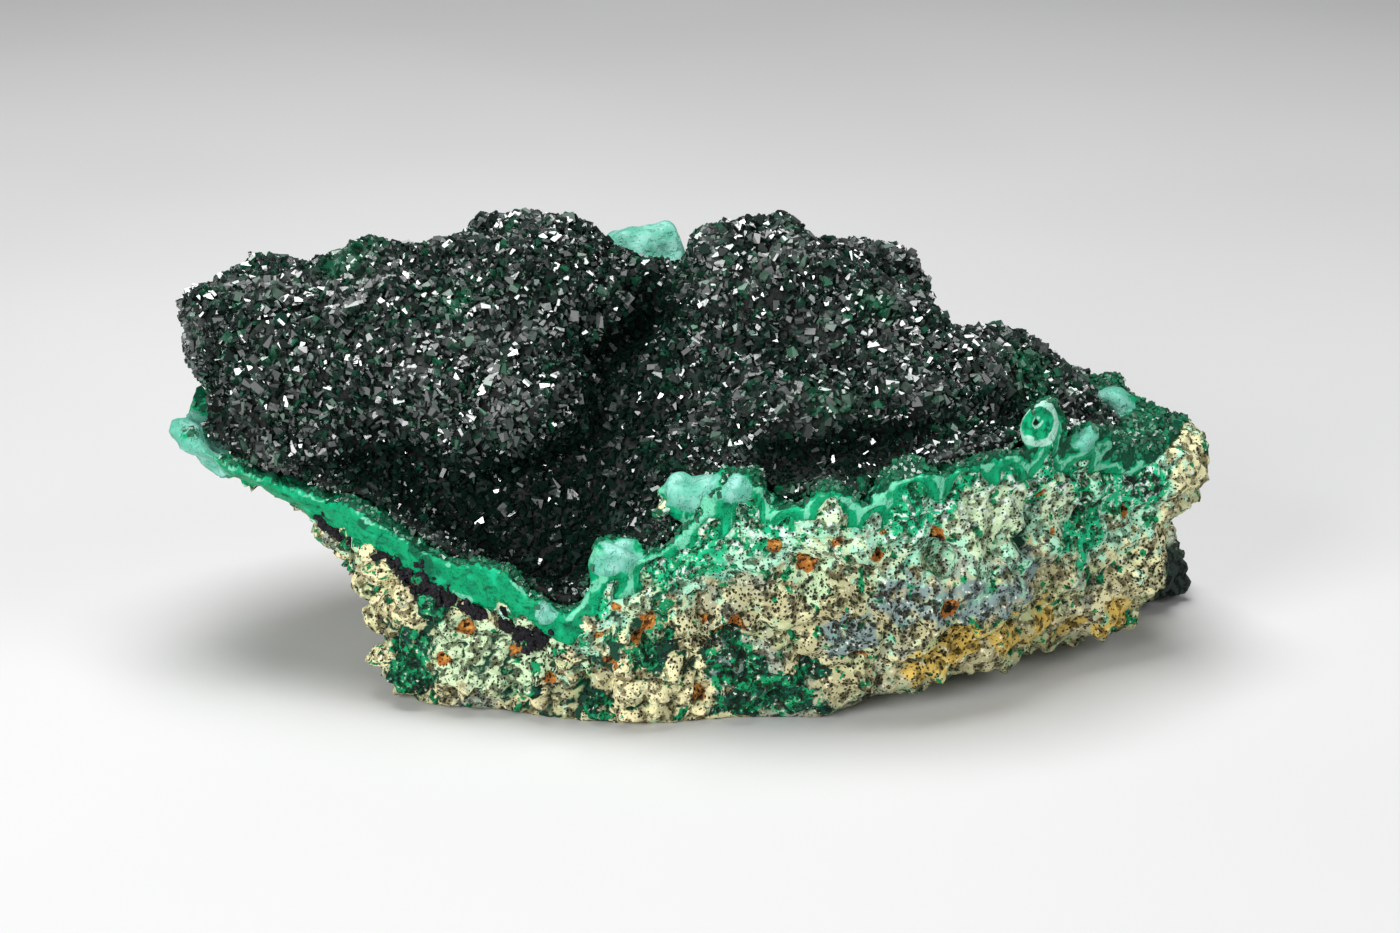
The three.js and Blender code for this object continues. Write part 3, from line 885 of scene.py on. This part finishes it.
def crystal_looks(rng, places, green, shelter_shade, bright):
    """Tint, dullness and gloss of each crystal: frosted in patches, painted shade where sheltered, some
    bright.
    """
    count = len(places)
    tint = np.clip(rng.random(count) ** 6 * 0.4 + green * rng.random(count), 0, 1)
    frosted = smoothstep(-0.1, 0.5, fractal(places, *FROST))
    dull = rng.uniform(0.1, 0.28, count) * (1 - 0.4 * shelter_shade) + 0.32 * frosted * (1 - shelter_shade)
    # Painted shade: less gloss, and below less tint, where sheltered.
    gloss = np.where(bright, 1.0, (1 - shelter_shade) ** 3)
    return {"tint": tint * (1 - shelter_shade) ** 2, "dull": dull, "gloss": gloss}


def strew_dark_crystals(name, count, usual, forms, rng, material, settings):
    """Dark crystals of a usual length over the lumps, as a left and a right piece."""
    ground = bpy.data.objects["druse_ground"]
    lumps = BVHTree.FromObject(ground, bpy.context.evaluated_depsgraph_get())
    crust = surface_tree("malachite_crust")
    druse = surface_tree("crystal_druse")

    def clear_of_crust(places, normals):
        return distance_to(crust, places) > CRUST_CLEARANCE

    places, normals = strewn_points(ground.data, rng, count, clear_of_crust)
    from_edge = distance_to(crust_edge(), places)
    # Painted shade: sheltered places and the shaded patches get darker, less glossy crystals.
    black = smoothstep(0, 0.5, patch_share(places, druse, SHADED_DRUSE))
    shelter_shade = np.maximum(sheltered(lumps, places, normals, rng), SHADE_PATCH_CLOSING * black)
    bright = rng.random(count) < BRIGHT_SHARE + BRIGHT_IN_SHADE * black
    green = np.clip(patch_share(places, druse, GREEN_DRUSE), 0, 1)
    green = np.maximum(green, 0.6 * (1 - smoothstep(*GREEN_RIM, from_edge)))
    size, sizes = crystal_sizes(rng, usual, from_edge, shelter_shade, bright * black)
    looks = crystal_looks(rng, places, green, shelter_shade, bright)
    frames = crystal_frames(places, normals, rng, settings)
    places = places + normals * (size * CRYSTAL_LIFT)[:, None]
    left = places[:, 0] < settings.cleft
    for side, own in (("left", left), ("right", ~left)):
        own_looks = {look: values[own] for look, values in looks.items()}
        joined_crystals(f"{name}_{side}", forms, places[own], frames[own], sizes[own], own_looks, material)


def strew_rim_crystals(rng, material, settings):
    """Small green crystals on the crust's top, behind its bare rim and between its domes."""
    crust = surface_tree("malachite_crust")
    druse = surface_tree("crystal_druse")
    edge = crust_edge()

    def strip_behind_rim(places, normals):
        return (normals[:, 2] > RIM_FACING) & (distance_to(edge, places) < RIM_STRIP)

    band = bpy.data.objects["malachite_crust_surface"].data
    places, normals = strewn_points(band, rng, settings.rim_count, strip_behind_rim)
    covers = [druse.ray_cast(place, (0, 0, 1), COVER_REACH)[0] for place in places.tolist()]
    open_above = np.array([cover is None for cover in covers])
    mint = patch_share(places, crust, MINT_DOMES) > DOME_MARGIN
    back = distance_to(edge, places) > settings.rim_width * rng.uniform(0.4, 1.6, len(places))
    own = back & ~mint & open_above
    places = places[own]
    normals = normals[own]
    count = len(places)
    size = settings.fine_length * rng.uniform(0.5, 1.1, count)
    sizes = np.stack([size, size * 0.7, size], axis=1)
    frames = crystal_frames(places, normals, rng, settings)
    looks = {
        "tint": rng.uniform(0.1, 0.7, count),
        "dull": rng.uniform(0.2, 0.4, count),
        "gloss": np.full(count, 0.4),
    }
    forms = crystal_forms(rng, RIM_FORMS)
    joined_crystals("rim_crystals", forms, places, frames, sizes, looks, material)


def make_crystals(settings):
    """The dark crystals over the lumps, coarse and fine, and small green ones behind the rim."""
    rng = np.random.default_rng(settings.seed)
    material = crystal_material(settings)
    for name, form_count, count, usual in (
        ("crystals", COARSE_FORMS, settings.coarse_count, settings.coarse_length),
        ("fine_crystals", FINE_FORMS, settings.fine_count, settings.fine_length),
    ):
        forms = crystal_forms(rng, form_count)
        strew_dark_crystals(name, count, usual, forms, rng, material, settings)
    strew_rim_crystals(rng, material, settings)


def paper_material(settings):
    """White paper, matt: even and without gloss, a little darker in broad patches."""
    grey = coat("cecece", 200, (0.4, 0.6))
    white = tuple(settings.paper)
    return grainy_material(
        "matt_white_paper", white, grey, roughness=0.9, grain=2 * MM, depth=0.01 * MM
    )


def make_floor(settings):
    """A plain pale floor under the specimen."""
    sheet = bmesh.new()
    bmesh.ops.create_grid(sheet, x_segments=2, y_segments=2, size=settings.floor_size / 2)
    mesh = bpy.data.meshes.new("floor")
    sheet.to_mesh(mesh)
    sheet.free()
    mesh.materials.append(paper_material(settings))
    floor = bpy.data.objects.new("floor", mesh)
    bpy.context.scene.collection.objects.link(floor)


def make_lights(settings):
    """Soft studio lights, with places and widths in millimetres, and the faint light of the room."""
    scene = bpy.context.scene
    world = bpy.data.worlds.new("studio")
    world.use_nodes = True
    world.node_tree.nodes["Background"].inputs["Color"].default_value = tuple(settings.room)
    world.node_tree.nodes["Background"].inputs["Strength"].default_value = settings.surround
    scene.world = world
    for name, place, width, power in (
        ("overhead_softbox", (-40, 60, 600), 400, settings.overhead_power),
        ("left_softbox", (-380, -530, 300), 320, settings.left_power),
        ("right_softbox", (480, -250, 380), 300, settings.right_power),
        ("front_fill", (60, -800, 300), 500, settings.front_power),
    ):
        light = bpy.data.lights.new(name, "AREA")
        light.shape = "SQUARE"
        light.size = width * MM
        light.energy = power
        lamp = bpy.data.objects.new(name, light)
        lamp.location = Vector(place) * MM
        lamp.rotation_euler = (CAMERA_TARGET - lamp.location).to_track_quat("-Z", "Y").to_euler()
        scene.collection.objects.link(lamp)


def make_camera():
    """The photograph's camera."""
    scene = bpy.context.scene
    eye, forward, _, _ = camera_axes()
    camera_data = bpy.data.cameras.new("photo_camera")
    camera_data.lens = LENS
    camera_data.sensor_width = SENSOR
    camera_data.clip_start = 10 * MM
    camera = bpy.data.objects.new("photo_camera", camera_data)
    camera.location = eye
    camera.rotation_euler = forward.to_track_quat("-Z", "Y").to_euler()
    scene.collection.objects.link(camera)
    scene.camera = camera


def length(name, description, millimetres):
    """A length of a piece, kept in metres."""
    return FloatProperty(
        name=name, description=description, default=millimetres * MM, precision=5, unit="LENGTH"
    )


def shade(name, description, code):
    """A colour of a finish, from its sRGB hex value."""
    return FloatVectorProperty(
        name=name, description=description, default=linear(code), size=4, subtype="COLOR"
    )


class RockSettings(bpy.types.PropertyGroup):
    """Sizes and colour of the host rock."""

    grid: length("Grid", "Spacing of the surface's mesh", 0.62)
    bend: length("Bend", "How far lumps and grit are bent", 1.2)
    wave_height: length("Swells", "Height of the broad swells", 1.0)
    lump_size: length("Lump Size", "Width of a rounded lump", 6.0)
    lump_height: length("Lumps", "Height of the rock's lumps", 2.4)
    grit_size: length("Grit Size", "Width of a grain of grit", 4.2)
    grit_height: length("Grit", "Height of the grit", 2.4)
    crumble_height: length("Crumbs", "Height of the crumbly relief", 0.9)
    pit_spacing: length("Pit Spacing", "Distance between pits", 3.2)
    pit_depth: length("Pits", "Depth of the pits", 0.8)
    vug_depth: length("Vugs", "Depth of the rusty vugs", 1.4)
    stain_reach: length("Stain Reach", "How far copper stains reach from the crust", 19)
    groundmass: shade("Groundmass", "Colour of the rock under its stains", "bab488")


class OxideSettings(bpy.types.PropertyGroup):
    """Sizes of the black nodules under the crust."""

    count: IntProperty(name="Nodules", description="How many places are tried", default=1100)
    radius: length("Radius", "Usual radius of a nodule", 0.38)
    spread: length("Spread", "Width of the seam", 0.9)
    seed: IntProperty(name="Seed", description="Start of the random numbers", default=4)


class CrustSettings(bpy.types.PropertyGroup):
    """Sizes of the malachite crust."""

    grid: length("Grid", "Spacing of the surface's mesh", 0.55)
    swell: length("Swell", "Growth that closes the seams", 0.2)
    lobe_size: length("Lobes", "Width of a rounded lobe", 3.4)
    lobe_height: length("Lobe Height", "Height of a lobe", 0.7)
    ripple_height: length("Ripple", "Height of the fine relief", 0.15)
    top_height: length("Top Relief", "Height of the lumps on top", 1.0)
    left_band: length("Left Band", "Thickness of the band on the left", 3.6)
    right_band: length("Right Band", "Thickness of the band on the right", 2.5)
    end_band: length("End Band", "What the band gains at its right end", 1.4)
    arch_width: length("Arches", "Width of an arch of layers", 6.4)
    growth_step: length("Growth Step", "Distance between layers", 1.1)
    dome_height: length("Dome Relief", "Unevenness of the domes", 2.2)
    ring_dent: length("Ring Dent", "Depth of the ringed knob", 1.0)
    seed: IntProperty(name="Seed", description="Start of the random numbers", default=7)


class DruseSettings(bpy.types.PropertyGroup):
    """Sizes and colours of the crystals and of the lumps that they grow on."""

    grid: length("Grid", "Spacing of the lumps' mesh", 0.9)
    lump_size: length("Clusters", "Width of a cluster of crystals", 12)
    lump_height: length("Cluster Height", "Height of a cluster", 4)
    crystal_stand: length("Stand", "How far crystals stand out", 1.0)
    worn_depth: length("Worn Depth", "How far the sloping end is worn", 4)
    coarse_count: IntProperty(name="Crystals", description="Number of coarse crystals", default=22000)
    coarse_length: length("Coarse Length", "Usual length of a coarse crystal", 0.86)
    fine_count: IntProperty(name="Fine Crystals", description="Number of fine crystals", default=9000)
    fine_length: length("Fine Length", "Usual length of a fine crystal", 0.7)
    rim_count: IntProperty(name="Rim Crystals", description="How many places are tried", default=12000)
    rim_width: length("Bare Rim", "Usual width of the crust's bare rim", 0.6)
    lean: FloatProperty(name="Lean", description="How unevenly the crystals lean", default=0.36)
    sheaf_lean: FloatProperty(name="Sheaf Lean", description="How far neighbours lean alike", default=0.7)
    sheaf_size: length("Sheaves", "Width of a group that leans alike", 4)
    cleft: length("Cleft", "Where the two masses part, along X", -7)
    ior: FloatProperty(name="IOR", description="Refraction of malachite", default=1.85)
    seed: IntProperty(name="Seed", description="Start of the random numbers", default=12)
    dark: shade("Dark", "Colour of most crystals", "0d1c17")
    green: shade("Green", "Colour of the greenest crystals", "12895c")


class StageSettings(bpy.types.PropertyGroup):
    """The floor and the studio lights."""

    floor_size: length("Floor", "Width of the floor", 6000)
    paper: shade("Paper", "Colour of the floor", "d2d2d2")
    room: shade("Room", "Colour of the room's light", "f3f9ff")
    surround: FloatProperty(name="Surround", description="Strength of the room's light", default=0.07)
    overhead_power: FloatProperty(name="Overhead", description="Watts of the overhead softbox", default=4.0)
    left_power: FloatProperty(name="Left", description="Watts of the left softbox", default=4.0)
    right_power: FloatProperty(name="Right", description="Watts of the right softbox", default=0.8)
    front_power: FloatProperty(name="Front", description="Watts of the front fill", default=0.7)


class SpecimenSettings(bpy.types.PropertyGroup):
    """All settings of the specimen."""

    rock: PointerProperty(type=RockSettings, name="Host Rock", description="The porous rock")
    oxide: PointerProperty(type=OxideSettings, name="Oxide", description="The black nodules")
    crust: PointerProperty(type=CrustSettings, name="Crust", description="The green crust")
    druse: PointerProperty(type=DruseSettings, name="Druse", description="The dark crystals")
    stage: PointerProperty(type=StageSettings, name="Stage", description="Floor, lights and camera")


class SPECIMEN_OT_host_rock(bpy.types.Operator):
    """Make the porous host rock"""

    bl_idname = "specimen.host_rock"
    bl_label = "Host Rock"

    def execute(self, context):
        make_host_rock(context.scene.specimen.rock)
        return {"FINISHED"}


class SPECIMEN_OT_oxide_nodules(bpy.types.Operator):
    """Make the seam of black oxide nodules"""

    bl_idname = "specimen.oxide_nodules"
    bl_label = "Oxide Nodules"

    def execute(self, context):
        make_oxide_nodules(context.scene.specimen.oxide)
        return {"FINISHED"}


class SPECIMEN_OT_malachite_crust(bpy.types.Operator):
    """Make the banded malachite crust"""

    bl_idname = "specimen.malachite_crust"
    bl_label = "Malachite Crust"

    def execute(self, context):
        make_malachite_crust(context.scene.specimen.crust, context.scene.specimen.rock)
        return {"FINISHED"}


class SPECIMEN_OT_crystal_druse(bpy.types.Operator):
    """Make the dark lumps and the crystals on them"""

    bl_idname = "specimen.crystal_druse"
    bl_label = "Crystal Druse"

    def execute(self, context):
        make_druse_ground(context.scene.specimen.druse)
        make_crystals(context.scene.specimen.druse)
        return {"FINISHED"}


class SPECIMEN_OT_stage(bpy.types.Operator):
    """Make the floor, the lights and the camera"""

    bl_idname = "specimen.stage"
    bl_label = "Stage"

    def execute(self, context):
        context.scene.view_settings.view_transform = "Standard"
        make_floor(context.scene.specimen.stage)
        make_lights(context.scene.specimen.stage)
        make_camera()
        return {"FINISHED"}


class SPECIMEN_PT_sidebar(bpy.types.Panel):
    """Lists the specimen's pieces and settings"""

    bl_idname = "SPECIMEN_PT_sidebar"
    bl_label = "Malachite Specimen"
    bl_space_type = "VIEW_3D"
    bl_region_type = "UI"
    bl_category = "Specimen"

    def draw(self, context):
        for operator in OPERATORS:
            self.layout.operator(operator.bl_idname)
        for group in SpecimenSettings.__annotations__:
            settings = getattr(context.scene.specimen, group)
            box = self.layout.box()
            for name in type(settings).__annotations__:
                box.prop(settings, name)


OPERATORS = (
    SPECIMEN_OT_stage,
    SPECIMEN_OT_host_rock,
    SPECIMEN_OT_oxide_nodules,
    SPECIMEN_OT_malachite_crust,
    SPECIMEN_OT_crystal_druse,
)
CLASSES = (
    RockSettings,
    OxideSettings,
    CrustSettings,
    DruseSettings,
    StageSettings,
    SpecimenSettings,
    *OPERATORS,
    SPECIMEN_PT_sidebar,
)


def register():
    for cls in CLASSES:
        bpy.utils.register_class(cls)
    bpy.types.Scene.specimen = PointerProperty(type=SpecimenSettings)


def unregister():
    del bpy.types.Scene.specimen
    for cls in reversed(CLASSES):
        bpy.utils.unregister_class(cls)


def main():
    register()
    bpy.ops.specimen.stage()
    bpy.ops.specimen.host_rock()
    bpy.ops.specimen.oxide_nodules()
    bpy.ops.specimen.malachite_crust()
    bpy.ops.specimen.crystal_druse()


if __name__ == "__main__":
    main()
